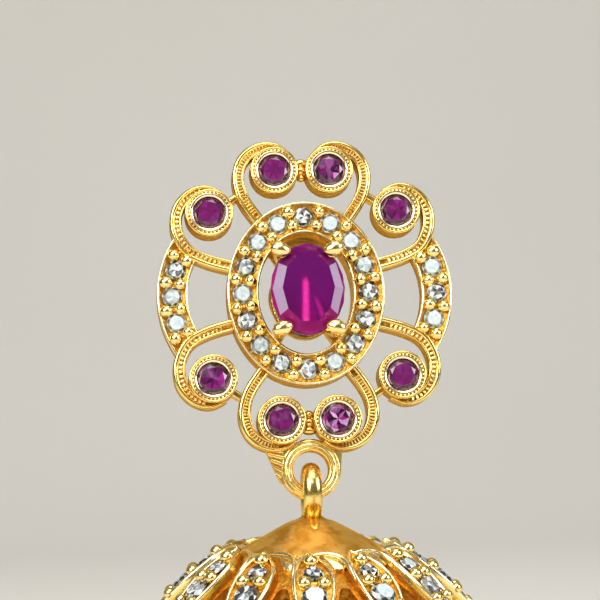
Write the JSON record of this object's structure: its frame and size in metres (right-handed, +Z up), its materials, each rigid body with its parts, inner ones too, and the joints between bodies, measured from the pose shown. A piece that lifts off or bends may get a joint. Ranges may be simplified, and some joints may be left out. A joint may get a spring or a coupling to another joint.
{
  "type": "jhumka earring",
  "caption": "Drop earring with an openwork stone-set stud on an ear post and a domed bell that swings from its ring.",
  "frame": {"origin": "on the ear post's axis at the back face of its pad, where the ear lobe rests", "axes": "+Z up, -Y out of the front of the stud, +Y to the back past the ear, +X to the right as seen from the front"},
  "size_m": [0.0242, 0.0261, 0.0354],
  "materials": {
    "gold_plate": "bright gold plating over cast brass, darker in the recesses",
    "satin_cap": "satin amber-gold plating",
    "ruby": "polished, faceted, deep purple-red",
    "clear_stone": "polished, faceted, clear"
  },
  "bodies": {
    "stud": {"stud_frame": "gold_plate", "ear_post": "gold_plate", "center_ruby": "ruby", "ruby_top_left": "ruby", "ruby_top_right": "ruby", "ruby_bottom_left": "ruby", "ruby_bottom_right": "ruby", "ruby_upper_left": "ruby", "ruby_upper_right": "ruby", "ruby_lower_left": "ruby", "ruby_lower_right": "ruby", "halo_stone_01": "clear_stone", "halo_stone_02": "clear_stone", "halo_stone_03": "clear_stone", "halo_stone_04": "clear_stone", "halo_stone_05": "clear_stone", "halo_stone_06": "clear_stone", "halo_stone_07": "clear_stone", "halo_stone_08": "clear_stone", "halo_stone_09": "clear_stone", "halo_stone_10": "clear_stone", "halo_stone_11": "clear_stone", "halo_stone_12": "clear_stone", "halo_stone_13": "clear_stone", "halo_stone_14": "clear_stone", "halo_stone_15": "clear_stone", "halo_stone_16": "clear_stone", "side_stone_left_1": "clear_stone", "side_stone_left_2": "clear_stone", "side_stone_left_3": "clear_stone", "side_stone_right_1": "clear_stone", "side_stone_right_2": "clear_stone", "side_stone_right_3": "clear_stone"},
    "bell": {"bell_cap": "satin_cap", "bell_petals": "gold_plate"}
  },
  "joints": [
    {"name": "bell_swing", "type": "hinge", "parent": "stud", "child": "bell", "pos_m": [0, -0.0033, -0.01096], "axis": [0, 0.9848, -0.1736], "range_deg": [-60, 60]}
  ]
}
